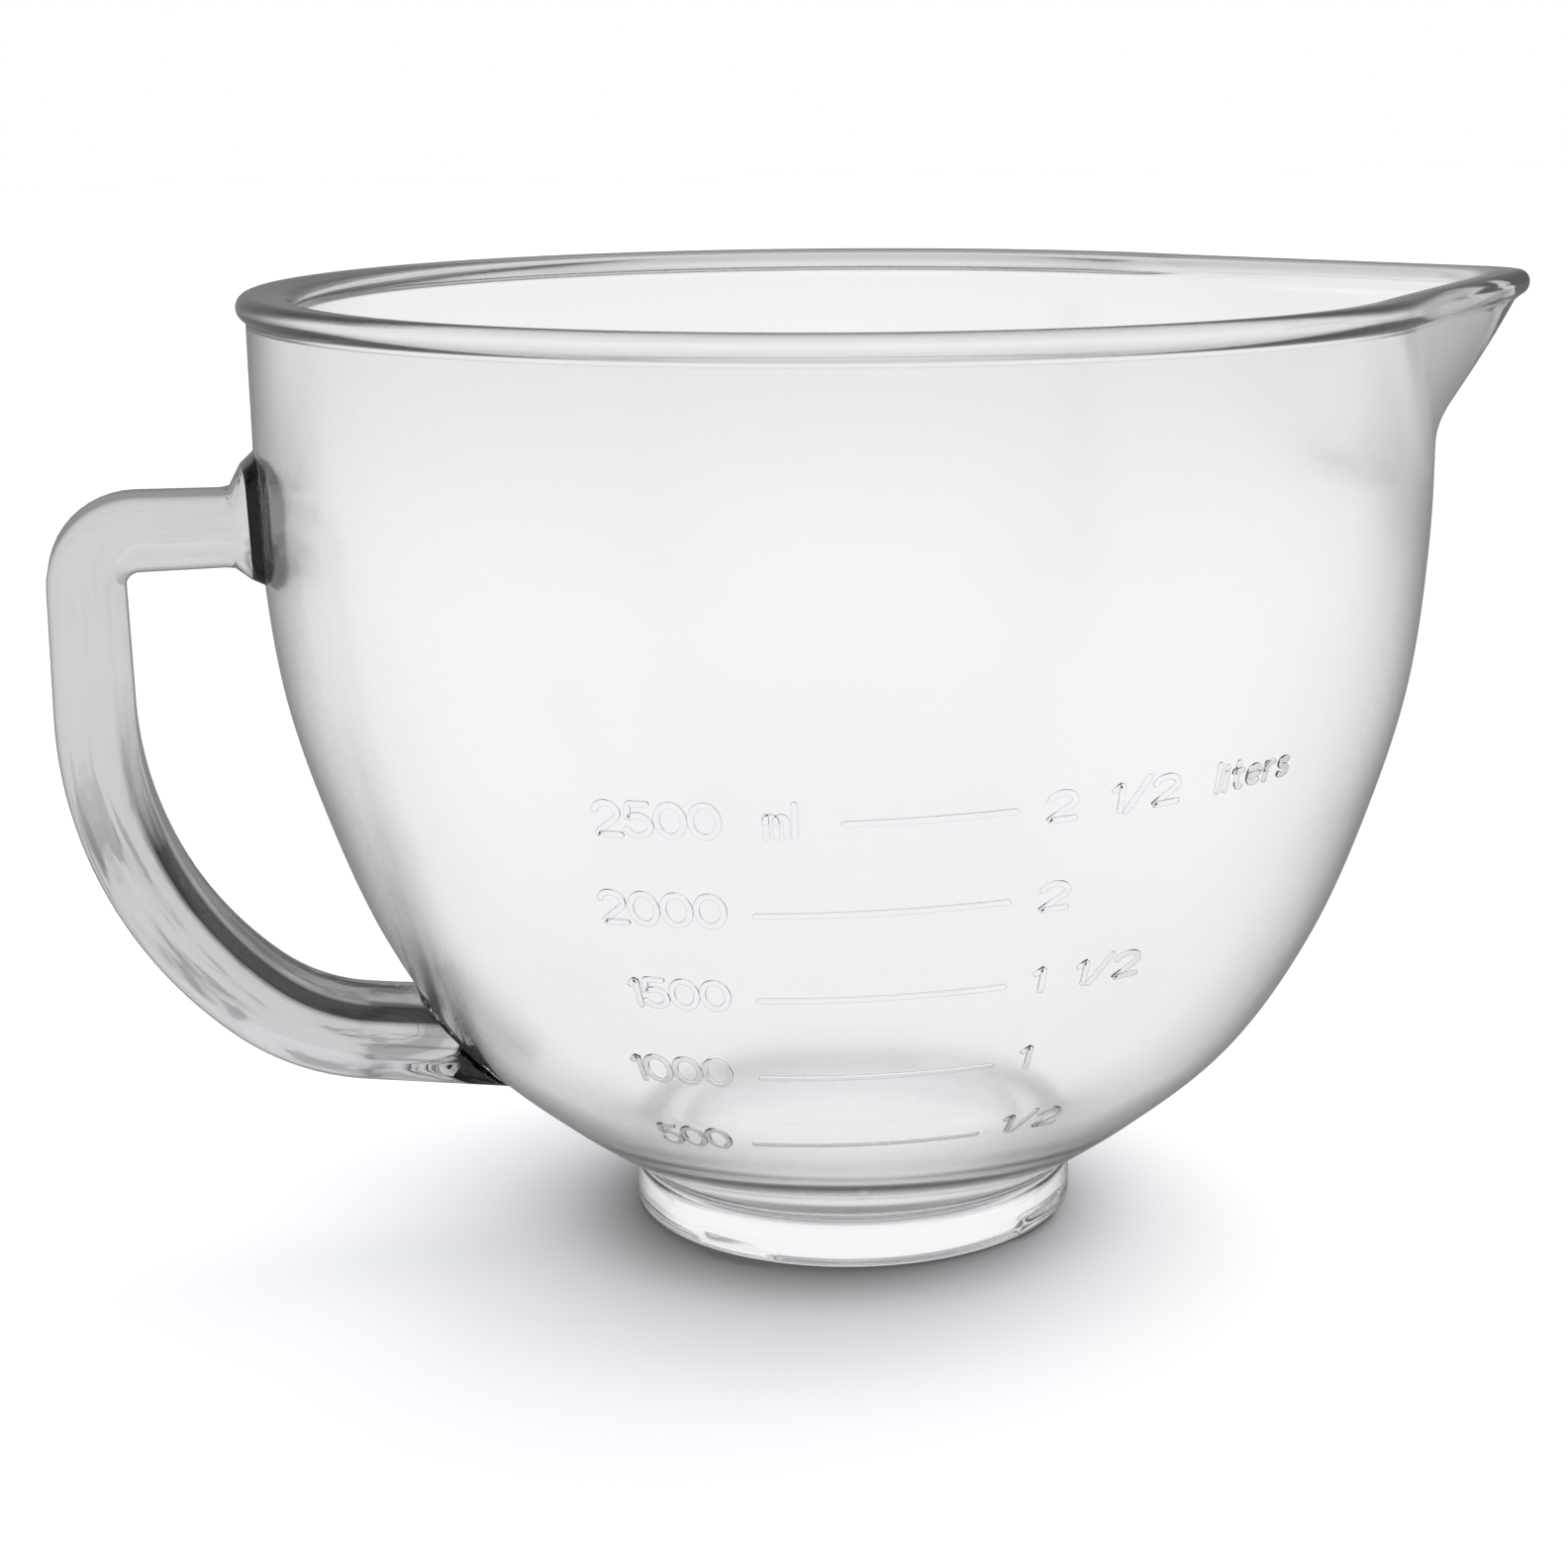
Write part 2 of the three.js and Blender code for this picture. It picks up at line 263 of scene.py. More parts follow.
def inside_line(steps):
    """The inside of the wall: the outside moved inwards by a thickness that grows towards the mouth."""
    line = spline(OUTSIDE, steps)
    along = np.gradient(line, axis=0)
    along /= np.linalg.norm(along, axis=1)[:, None]
    growth = smoothstep(line[:, 1], *MOUTH_BLEND)
    thickness = WALL_THICKNESS + (WALL_RADIUS - MOUTH_RADIUS - WALL_THICKNESS) * growth
    return line + np.stack([-along[:, 1], along[:, 0]], axis=1) * thickness[:, None]


def spout_rise(height):
    """How far up the spout a height is, from 0 at its root to 1 at the rim."""
    return float(np.clip((height - SPOUT_START) / (HEIGHT - SPOUT_START), 0, 1))


def spout_reach(height):
    """How far the outside of the spout reaches from the bowl's axis at a height."""
    rise = spout_rise(height)
    draw = (SPOUT_REACH - WALL_RADIUS) * rise * (1 + SPOUT_BULGE * (1 - rise))
    return float(wall_radius(height)) + draw


def teardrop(away, radius, reach):
    """Radius at an angle from the spout: a circle, with two tangents to a smaller circle at the tip."""
    drawn = np.sqrt(np.clip((reach - radius) / (SPOUT_REACH - WALL_RADIUS), 0, 1))
    tip = SPOUT_ROOT_RADIUS + (SPOUT_TIP_RADIUS - SPOUT_ROOT_RADIUS) * drawn
    tip = np.minimum(tip, radius * SPOUT_TIP_LIMIT)
    tip_centre = np.maximum(reach, radius) - tip
    turn = np.arccos((radius - tip) / tip_centre)
    tip_edge = np.arctan2(tip * np.sin(turn), tip_centre + tip * np.cos(turn))
    tangent = radius / np.cos(np.clip(turn - away, 0, 1.5))
    inside = np.clip(tip**2 - (tip_centre * np.sin(away)) ** 2, 0, None)
    nose = tip_centre * np.cos(away) + np.sqrt(inside)
    return np.where(away >= turn, radius, np.where(away >= tip_edge, tangent, nose))


# ---- body ----
def inner_rows():
    """Rows from the middle of the inside floor up to the rim."""
    inner = inside_line(INNER_STEPS)
    inner = inner[inner[:, 1] > FLOOR_HEIGHT + FLOOR_BLEND]
    drop = (inner[0][1] - FLOOR_HEIGHT) / (inner[1][1] - inner[0][1])
    foot_of_wall = inner[0] + (inner[0] - inner[1]) * drop
    floor_corner = fillet((0, FLOOR_HEIGHT), foot_of_wall, inner[0], FLOOR_ROUNDING, RIM_ARC_STEPS)
    flat_radii = np.linspace(MIDDLE_RADIUS, floor_corner[0][0] - FLAT_MARGIN, MIDDLE_ROWS)
    flat = [(x, FLOOR_HEIGHT) for x in flat_radii]
    corner = [p for p in floor_corner if p[1] < inner[0][1] - ROW_GAP]
    wall = [p for p in inner if p[1] < HEIGHT - RIM_INNER_ROUNDING - 1]
    rows = []
    for radius, height in [*flat, *corner, *wall]:
        rise = spout_rise(height)
        lip = WALL_THICKNESS + (SPOUT_LIP - WALL_THICKNESS) * rise
        reach = spout_reach(height) - lip if rise > 0 else radius
        rows.append((radius, radius, max(reach, radius), height))
    return rows


def rim_rows():
    """Rows over the rounded rim and round its bead, which fades away along the spout."""
    crown = HEIGHT - RIM_CROWN
    half = RIM_DEPTH / 2
    mouth_edge = (MOUTH_RADIUS, crown)
    inner_edge = fillet(
        (MOUTH_RADIUS, 0), mouth_edge, (RIM_RADIUS, crown), RIM_INNER_ROUNDING, RIM_ARC_STEPS
    )
    edge, bead_start = inner_edge[-1][0], RIM_RADIUS - half
    top = [
        (x, crown + RIM_CROWN * math.sin(math.pi / 2 * (x - edge) / (bead_start - edge)))
        for x in np.linspace(edge, bead_start, RIM_ARC_STEPS)[1:-1]
    ]
    proud = RIM_RADIUS - WALL_RADIUS
    rows = []
    for radius, height in [*inner_edge, *top]:
        share = (radius - MOUTH_RADIUS) / (RIM_RADIUS - MOUTH_RADIUS)
        rows.append((radius, radius - proud * share, SPOUT_REACH - SPOUT_LIP * (1 - share), height))
    for a in np.linspace(math.pi / 2, BEAD_END, BEAD_ROWS):
        radius, height = bead_start + half * math.cos(a), HEIGHT - half + half * math.sin(a)
        reach = SPOUT_REACH - RIM_RADIUS + radius
        if a < 0:
            rows.append((radius, WALL_RADIUS, max(reach, spout_reach(height)), height))
        else:
            rows.append((radius, radius - proud, reach, height))
    return rows


def outer_rows():
    """Rows from under the rim down to the middle of the underside."""
    outer = [*spline(OUTSIDE, OUTER_STEPS)]
    outer += [(wall_radius(z), z) for z in (SPOUT_START - ROW_GAP, SPOUT_START, SPOUT_START + ROW_GAP)]
    outer.sort(key=lambda p: -p[1])
    foot_corner = fillet(outer[-3], (FOOT_RADIUS, OUTSIDE[0][1]), (FOOT_RADIUS, 0), FOOT_NECK_ROUNDING)
    rim_bottom = HEIGHT - RIM_DEPTH
    rows = [
        (radius, radius, spout_reach(height), height)
        for radius, height in outer
        if foot_corner[0][1] + ROW_GAP < height < rim_bottom - 0.3
    ]
    foot_levels = np.linspace(foot_corner[-1][1] - 0.5, FOOT_WALL_LOW, FOOT_WALL_ROWS)
    under = [*foot_corner, *[(FOOT_RADIUS, z) for z in foot_levels]]
    outer_edge, inner_edge, recess_edge = (FOOT_RADIUS, 0), (FOOT_BORE, 0), (FOOT_BORE, RECESS_DEPTH)
    under += fillet((FOOT_RADIUS, 5), outer_edge, inner_edge, FOOT_EDGE)
    under += fillet(outer_edge, inner_edge, recess_edge, FOOT_EDGE)
    under += fillet(inner_edge, recess_edge, (0, RECESS_DEPTH), RECESS_ROUNDING)
    recess_flat = FOOT_BORE - RECESS_ROUNDING - FLAT_MARGIN
    under += [(x, RECESS_DEPTH) for x in np.linspace(recess_flat, MIDDLE_RADIUS, MIDDLE_ROWS)]
    return rows + [(radius, radius, radius, height) for radius, height in under]


def lug_bulge(angle, height):
    """How far the twist-lock lugs stand out of the foot."""
    pitch = 2 * math.pi / LUG_COUNT
    off = np.abs((angle % pitch) - pitch / 2)
    half = math.radians(LUG_SPAN) / 2
    flat_around, flat_up = LUG_FLAT_SHARE
    around = 1 - smoothstep(off, half * flat_around, half)
    up = 1 - smoothstep(abs(height - LUG_MIDDLE), LUG_HALF_HEIGHT * flat_up, LUG_HALF_HEIGHT)
    return LUG_REACH * around * up


def body(material):
    """The pressed glass as one skin of revolved rows, with the spout drawn out and the lugs raised."""
    even = np.arange(COLUMNS) / COLUMNS * 2 * math.pi
    angle = even - COLUMN_BUNCHING * np.sin(even)
    away = np.abs((angle + math.pi) % (2 * math.pi) - math.pi)
    bead_keep = smoothstep(np.degrees(away), *BEAD_FADE)
    points = []
    inner, rim, outer = inner_rows(), rim_rows(), outer_rows()
    for radius, plain_radius, reach, height in [*inner, *rim, *outer]:
        drawn = teardrop(away, plain_radius + (radius - plain_radius) * bead_keep, reach)
        if radius > FOOT_RADIUS - 1 and height < OUTSIDE[0][1]:
            drawn = drawn + lug_bulge(angle, height)
        level = np.full(COLUMNS, height)
        points.append(np.stack([drawn * np.cos(angle), drawn * np.sin(angle), level], axis=1))
    rows = len(points)
    points = np.concatenate(points)
    faces = grid_faces(rows, COLUMNS)
    floor_middle, under_middle = len(points), len(points) + 1
    points = np.concatenate([points, [(0, 0, FLOOR_HEIGHT), (0, 0, RECESS_DEPTH)]])
    last = (rows - 1) * COLUMNS
    for j in range(COLUMNS):
        k = (j + 1) % COLUMNS
        faces.append((floor_middle, k, j))
        faces.append((under_middle, last + j, last + k))
    faces = [tuple(reversed(f)) for f in faces]
    # The flow's first value is painted shade: dark lines round the rim and the inside darker towards the
    # mouth; the outside is left at 1.
    around_rim = np.interp(np.linspace(0, 1, len(rim)), *zip(*RIM_SHADE))
    up_inside = np.interp([height for *_, height in inner], *zip(*MOUTH_SHADE))
    shade = np.concatenate([up_inside, around_rim, np.ones(len(outer))])
    shade = np.concatenate([np.repeat(shade, COLUMNS), [1, 1]])
    flow = np.stack([shade, np.zeros(len(shade)), np.zeros(len(shade))], axis=1)
    replaced = ["bowl_wall", "rim_bead", "pour_spout", "foot_ring"]
    replaced += [f"foot_lug_{i + 1}" for i in range(LUG_COUNT)]
    make_piece("bowl_body", points, faces, material, replaced, flow)


# ---- handle ----
def handle_path():
    """The handle's middle line as a radius and a height, with its heading and how far along it is."""
    x, y, heading, travelled = WALL_RADIUS - HANDLE_ROOT, HANDLE_LEVEL, 0.0, 0.0
    path = [(x, y, heading, travelled)]
    for length, turn, steps in HANDLE_RUNS:
        for _ in range(steps):
            heading -= math.radians(turn / steps) / 2
            x += length / steps * math.cos(heading)
            y += length / steps * math.sin(heading)
            heading -= math.radians(turn / steps) / 2
            travelled += length / steps
            path.append((x, y, heading, travelled))
    return path


def section(half_width, half_height, rounding, steps=CORNER_STEPS):
    """A rounded rectangle, as points across the width and up the thickness."""
    points = []
    corners = [(1, 1, 0), (-1, 1, 90), (-1, -1, 180), (1, -1, 270)]
    for sx, sy, start in corners:
        for i in range(steps):
            a = math.radians(start + 90 * i / (steps - 1))
            points.append(
                (
                    sx * (half_width - rounding) + rounding * math.cos(a),
                    sy * (half_height - rounding) + rounding * math.sin(a),
                )
            )
    return np.array(points)


def section_at(path_point, end):
    """The handle's section across a point of its path, wider where it is fused to the wall."""
    x, y, heading, travelled = path_point
    along = travelled / end
    top, side, bottom = HANDLE_THICKNESS
    if along < 0.5:
        thickness = top + (side - top) * along * 2
    else:
        thickness = side + (bottom - side) * (along * 2 - 1)
    spread = max(0, min(1, 1 - (travelled - HANDLE_ROOT) / WELD_FADE)) ** 2
    ring = section(HANDLE_WIDTH / 2, thickness / 2 + WELD_FLARE * spread, HANDLE_ROUNDING)
    normal = np.array([-math.sin(heading), math.cos(heading)])
    middle = np.array([x, y]) + (ring[:, 1:2] + WELD_RISE * spread) * normal
    return np.stack([-middle[:, 0], ring[:, 0], middle[:, 1]], axis=1)


def clearance(points):
    """How far points are outside the wall, measured radially."""
    return np.hypot(points[:, 0], points[:, 1]) - wall_radius(points[:, 2])


def slide_to_wall(points, direction, growth):
    """Slides points along a direction until they are a distance outside the wall."""
    low = np.full(len(points), -SLIDE_LIMIT)
    high = np.full(len(points), SLIDE_LIMIT)
    for _ in range(SLIDE_HALVINGS):
        middle = (low + high) / 2
        outside = clearance(points + direction * middle[:, None]) > growth
        low = np.where(outside, middle, low)
        high = np.where(outside, high, middle)
    return points + direction * low[:, None]


def capped_sweep(rings, start_cap, end_cap):
    """Closes a sweep with caps, each a list of rings that shrink towards the middle."""
    count = len(rings[0])
    everything = [*start_cap[::-1], *rings, *end_cap]
    points = np.concatenate(everything)
    faces = grid_faces(len(everything), count)
    first, last = len(points), len(points) + 1
    points = np.concatenate([points, [everything[0].mean(axis=0), everything[-1].mean(axis=0)]])
    tail = (len(everything) - 1) * count
    for j in range(count):
        k = (j + 1) % count
        faces.append((first, k, j))
        faces.append((last, tail + j, tail + k))
    return points, faces


def shrink(ring, share):
    """A ring scaled about its middle."""
    middle = ring.mean(axis=0)
    return middle + (ring - middle) * share


def end_rings(ring, direction, growth):
    """Rings on the wall's surface, shrinking towards the middle of an end face."""
    return [slide_to_wall(shrink(ring, s), direction, growth) for s in END_SHARES]


def wall_direction(heading):
    """The direction, towards the wall, of the handle's straight end."""
    return np.array([-math.cos(heading), 0, math.sin(heading)])


def handle_pieces(glass, seam):
    """The handle, and the two welds that join it to the wall: the upper one dark, the lower one clear."""
    path = handle_path()
    end = path[-1][3]
    into_top = np.array([1.0, 0, 0])
    into_bottom = wall_direction(path[-1][2])
    bottom_ring = section_at(path[-1], end)
    root, tip = section_at(path[ROOT_STEP], end), section_at(path[ROOT_STEP + 1], end)
    start = slide_to_wall(tip, into_top, UPPER_WELD_DEPTH)
    finish = slide_to_wall(bottom_ring, into_bottom, LOWER_WELD_DEPTH)
    rings = [start]
    for p in path[ROOT_STEP + 2 : -1]:
        ring = section_at(p, end)
        if clearance(ring).min() > UPPER_WELD_DEPTH + 1:
            rings.append(ring)
    rings.append(finish)
    start_cap = end_rings(start, into_top, UPPER_WELD_DEPTH)
    end_cap = end_rings(finish, into_bottom, LOWER_WELD_DEPTH)
    points, faces = capped_sweep(rings, start_cap, end_cap)
    faces = [tuple(reversed(f)) for f in faces]
    # The flow gives each point its place along and across the sweep; it places the handle's painted streaks
    # and dark inner edge.
    along = np.linspace(0, 1, len(rings))
    along = [0] * len(start_cap) + [*along] + [1] * len(end_cap)
    around = section(1, 1, HANDLE_ROUNDING / HANDLE_WIDTH * 2)
    flow = [(place, across, up) for place in along for across, up in around]
    flow += [(0, 0, 0), (1, 0, 0)]
    make_piece("handle", points, faces, glass, ["handle_grip"], flow)
    upper = (root, tip, into_top, UPPER_WELD_DEPTH)
    lower = (shrink(bottom_ring, LOWER_WELD_SPREAD), bottom_ring, into_bottom, LOWER_WELD_DEPTH)
    for name, (root, tip, direction, depth) in (("upper", upper), ("lower", lower)):
        near = slide_to_wall(root, direction, AIR_FILM)
        far = slide_to_wall(tip, direction, depth - AIR_FILM)
        sweep = [near + (far - near) * share for share in np.linspace(0, 1, WELD_ROWS)]
        near_cap = end_rings(near, direction, AIR_FILM)
        far_cap = end_rings(far, direction, depth - AIR_FILM)
        points, faces = capped_sweep(sweep, near_cap, far_cap)
        weld_glass = glass
        if name == "upper":
            faces = [tuple(reversed(f)) for f in faces]
            weld_glass = seam
        make_piece(f"{name}_weld", points, faces, weld_glass, [f"{name}_handle_joint"])


# ---- volume scale ----
def arc(cx, cy, rx, ry, start, finish, steps):
    """Points along an ellipse, from one angle to another."""
    angles = np.radians(np.linspace(start, finish, steps + 1))
    return [(cx + rx * math.cos(a), cy + ry * math.sin(a)) for a in angles]


# Strokes of each character in a box one unit high, with its width.
GLYPHS = {
    "0": (0.84, [arc(0.42, 0.5, 0.42, 0.5, 90, 450, 32)]),
    "1": (0.22, [[(0.0, 0.78), (0.2, 0.97), (0.22, 0.9), (0.22, 0.0)]]),
    "2": (0.8, [[*arc(0.4, 0.7, 0.37, 0.3, 165, -38, 18), (0.05, 0.03), (0.08, 0.0), (0.8, 0.0)]]),
    "5": (0.78, [[(0.7, 1.0), (0.16, 1.0), (0.12, 0.97), (0.07, 0.56),
                  *arc(0.38, 0.32, 0.4, 0.32, 130, -155, 20)]]),
    "/": (0.62, [[(0.0, -0.05), (0.62, 1.1)]]),
    "m": (0.6, [[(0, 0), (0, 0.64)], [(0, 0.5), *arc(0.15, 0.5, 0.15, 0.14, 180, 0, 8), (0.3, 0)],
                [(0.3, 0.5), *arc(0.45, 0.5, 0.15, 0.14, 180, 0, 8), (0.6, 0)]]),
    "l": (0.05, [[(0, 0), (0, 1.0)]]),
    "i": (0.05, [[(0, 0), (0, 0.6)], [(0, 0.82), (0, 0.86)]]),
    "t": (0.3, [[(0.12, 0.92), (0.12, 0.14), (0.2, 0.0), (0.3, 0.0)], [(0.0, 0.62), (0.3, 0.62)]]),
    "e": (0.5, [[(0.04, 0.33), (0.5, 0.36), *arc(0.26, 0.33, 0.24, 0.32, 10, 310, 20)]]),
    "r": (0.3, [[(0, 0), (0, 0.62)], [(0, 0.42), (0.1, 0.58), (0.28, 0.62)]]),
    "s": (0.4, [[*arc(0.21, 0.48, 0.18, 0.15, 40, 250, 12), *arc(0.19, 0.17, 0.19, 0.17, 70, -140, 12)]]),
    " ": (0.4, []),
}
GLYPH_GAP = 0.2
LETTER_GAP = 0.24


def text_strokes(text):
    """Strokes of a line of text, and its width, in units of the letter height."""
    gap = LETTER_GAP if text.isalpha() else GLYPH_GAP
    strokes, x = [], 0.0
    for character in text:
        width, shapes = GLYPHS[character]
        strokes += [[(x + px, py) for px, py in shape] for shape in shapes]
        x += width + gap
    return strokes, x - gap


def resample(points, pitch):
    """The same line as points about a pitch apart."""
    points = np.asarray(points, dtype=float)
    lengths = np.concatenate([[0], np.cumsum(np.linalg.norm(np.diff(points, axis=0), axis=1))])
    count = max(2, int(round(lengths[-1] / pitch)) + 1)
    at = np.linspace(0, lengths[-1], count)
    return np.stack([np.interp(at, lengths, points[:, i]) for i in range(points.shape[1])], axis=1)


def on_wall(arc_mm, height, level, lift):
    """A point on the wall from a distance round it and a height, raised by a lift."""
    angle = arc_mm / wall_radius(level)
    height = height + math.tan(math.radians(SCALE_LEAN)) * wall_radius(level) * np.sin(angle)
    rise = wall_radius(height + SLOPE_STEP) - wall_radius(height - SLOPE_STEP)
    slope = rise / (2 * SLOPE_STEP)
    out = 1 / np.hypot(1, slope)
    radius = wall_radius(height) + lift * out
    return np.stack([radius * np.sin(angle), -radius * np.cos(angle), height - lift * slope * out], axis=-1)


def stroke_mesh(line, level):
    """A raised stroke with round ends along a line of arc lengths and heights."""
    closed = np.linalg.norm(line[0] - line[-1]) < 0.01
    if closed:
        line = line[:-1]
    base = on_wall(line[:, 0], line[:, 1], level, AIR_FILM)
    top = on_wall(line[:, 0], line[:, 1], level, AIR_FILM + 1)
    normal = top - base
    if closed:
        along = np.roll(base, -1, axis=0) - np.roll(base, 1, axis=0)
    else:
        along = np.gradient(base, axis=0)
    along /= np.linalg.norm(along, axis=1)[:, None]
    across = np.cross(normal, along)
    half = STROKE_WIDTH / 2
    profile = [(-a, b) for a, b in STROKE_FLANK] + [(0.0, 1.0)] + STROKE_FLANK[::-1]
    centres, scales = [*base], [1.0] * len(base)
    frames = list(zip(across, normal))
    if not closed:
        tips = [math.radians(a) for a in STROKE_TIP_ANGLES]
        head = [(base[0] - along[0] * half * math.sin(a), math.cos(a)) for a in tips]
        tail = [(base[-1] + along[-1] * half * math.sin(a), math.cos(a)) for a in reversed(tips)]
        centres = [h[0] for h in head] + centres + [t[0] for t in tail]
        scales = [h[1] for h in head] + scales + [t[1] for t in tail]
        frames = [frames[0]] * len(head) + frames + [frames[-1]] * len(tail)
    rings = []
    for centre, scale, (side, up) in zip(centres, scales, frames):
        lift = STROKE_RELIEF * math.sqrt(scale)
        rings.append([centre + side * half * scale * a + up * lift * b for a, b in profile])
    count = len(profile)
    points = np.array(rings).reshape(-1, 3)
    faces = grid_faces(len(rings), count)
    if closed:
        last = (len(rings) - 1) * count
        faces += [(last + j, last + (j + 1) % count, (j + 1) % count, j) for j in range(count)]
    else:
        faces.append(tuple(reversed(range(count))))
        last = (len(rings) - 1) * count
        faces.append(tuple(last + j for j in range(count)))
    return points, [tuple(reversed(f)) for f in faces]


# Each row of the scale: the letters' share of the full height, the bar's length, how far its right end is
# shifted, how far its right labels are lifted, and those labels, each with its start in degrees from the
# front.
ROWS = {
    500: (0.82, 41.7, -2.8, 1.6, [("1/2", 6.7)]),
    1000: (0.95, 41.8, -1.2, 0.8, [("1", 6.0)]),
    1500: (0.94, 43.5, 0.3, 0.5, [("1", 5.6), ("1/2", 10.3)]),
    2000: (1, 44, 0.4, 0, [("2", 4.8)]),
    2500: (1, 29.5, 1.2, 0, [("2", 4.5), ("1/2", 10.8), ("liters", 22.0)]),
}
LEFT_LABEL_END = 42.1
LEFT_LABEL_STEP = 1.5
LABEL_RISE = 0.9
UNIT_START = -20.3


def scale_row(index, volume, share, bar_length, bar_shift, lift, labels, material):
    """One row of the scale as a single relief piece: its bar and the labels on both sides."""
    level = FIRST_MARK + index * MARK_PITCH
    radius = wall_radius(level)
    height = LETTER_HEIGHT * share
    right = radius * math.radians(SCALE_CENTRE) + BAR_LENGTH / 2 + bar_shift
    lines = [[(right - bar_length, level), (right, level)]]
    strokes, width = text_strokes(str(volume))
    end = -(LEFT_LABEL_END + LEFT_LABEL_STEP * index)
    placed = [(strokes, end - width * height, LABEL_RISE, (1, 1))]
    if labels[-1][0] == "liters":
        placed.append((text_strokes("ml")[0], radius * math.radians(UNIT_START), LABEL_RISE, (1, 1)))
    for text, start in labels:
        placed.append((text_strokes(text)[0], radius * math.radians(start), lift, RIGHT_LETTER_SHARE))
    for strokes, x, rise, (wide, tall) in placed:
        base = level - height * tall / 2 + rise
        for stroke in strokes:
            lines.append([(x + px * height * wide, base + py * height * tall) for px, py in stroke])
    points, faces = [], []
    for line in lines:
        made, made_faces = stroke_mesh(resample(line, STROKE_PITCH), level)
        offset = sum(len(p) for p in points)
        points.append(made)
        faces += [tuple(v + offset for v in face) for face in made_faces]
    bar = f"scale_bar_{volume}_ml"
    make_piece(f"scale_row_{volume}", np.concatenate(points), faces, material, [bar])


# ---- materials ----
BODY_SHADOW = [(0.0, 0.1), (0.12, 0.3), (0.22, 0.76), (0.5, 0.95), (1.0, 1.0)]
LIGHT_SHADOW = [(0.0, 0.99), (1.0, 1.0)]
# The handle's tone, grey face-on, with painted shade that darkens it towards edge-on views.
HANDLE_TONE_AND_EDGE_SHADE = [(0.0, 0.8), (0.4, 0.76), (0.62, 0.55), (0.8, 0.2), (1.0, 0.03)]
SEAM_TINT = [(0.0, 0.06), (0.5, 0.04), (0.8, 0.03), (1.0, 0.02)]
# Painted shade: the scale's strokes stay clear face-on and darken on their steep flanks, drawing dark
# outlines.
RELIEF_EDGE_SHADE = [(0.0, 1.0), (0.3, 1.0), (0.5, 0.4), (1.0, 0.1)]
# Painted shade on the handle: dark streaks along it and a dark line along its inner edge.
STREAK_SHADE = [(0.0, 0.25), (0.36, 0.4), (0.42, 0.88), (0.5, 1.0), (1.0, 1.0)]
INNER_EDGE_SHADE = [(0.0, 0.5), (0.04, 0.01), (0.15, 0.01), (0.2, 0.9), (1.0, 1.0)]
STREAK_STRETCH = (5.0, 1.1, 2.2)
STREAK_SCALE = 1.6
STREAK_DETAIL = 4
STREAK_START = (0.4, 0.58)
STREAK_LEAST = 0.08
# Painted shade round the rim, by place from the inside edge over the top and round the bead: dark lines in
# place of the bead's dark reflections.
RIM_SHADE = [(0, 0.9), (0.1, 0.55), (0.2, 0.7), (0.3, 0.6), (0.42, 0.25), (0.5, 0.08), (0.56, 0.1),
             (0.66, 0.7), (0.75, 1), (0.86, 1), (0.93, 0.6), (1, 0.75)]
# Painted shade on the inside of the wall, by height in millimetres: darker towards the mouth.
MOUTH_SHADE = [(140, 1), (185, 0.84)]
# How strongly the painted edge shade darkens glass that is not the first thing a camera ray meets.
INSIDE_EDGE_SHADE_SHARE = 0.3
# Painted shade: the body's glass stays clear face-on and darkens towards edge-on views, drawing dark
# outlines.
BODY_EDGE_SHADE = [(0.0, 1.0), (0.5, 1.0), (0.7, 0.82), (0.8, 0.5), (0.9, 0.2), (1.0, 0.03)]
COOL_TINT = 1.008
SHADOW_COOL = 1.02
SHADOW_TOP = 0.1
GLASS_IOR = 1.5
GLASS_DENSITY = 3
BODY_COLOUR = (0.55, 0.58, 0.62)
BODY_ROUGHNESS = 0.12
HANDLE_COLOUR = (0.5, 0.53, 0.57)
WAVE_DETAIL = 2
# The depth in metres and the scale of each glass's surface wave.
BODY_WAVE = (0.00004, 40)
HANDLE_WAVE = (0.0003, 90)
SEAM_WAVE = (0.0003, 300)
RELIEF_WAVE = (0.00001, 400)


def grey_ramp(nodes, levels, cool=COOL_TINT):
    """A colour ramp of greys, each a place and a level."""
    ramp = nodes.new("ShaderNodeValToRGB")
    elements = ramp.color_ramp.elements
    while len(elements) < len(levels):
        elements.new(0.5)
    for element, (position, level) in zip(elements, levels):
        element.position = position
        element.color = (level / cool, level / cool**0.75, level, 1)
    return ramp


def multiplied(nodes, links, first, second, share=None):
    """Two colours multiplied, fully or by a share that comes from another socket."""
    mix = nodes.new("ShaderNodeMixRGB")
    mix.blend_type = "MULTIPLY"
    mix.inputs["Fac"].default_value = 1
    if share:
        links.new(share, mix.inputs["Fac"])
    links.new(first, mix.inputs["Color1"])
    links.new(second, mix.inputs["Color2"])
    return mix.outputs["Color"]


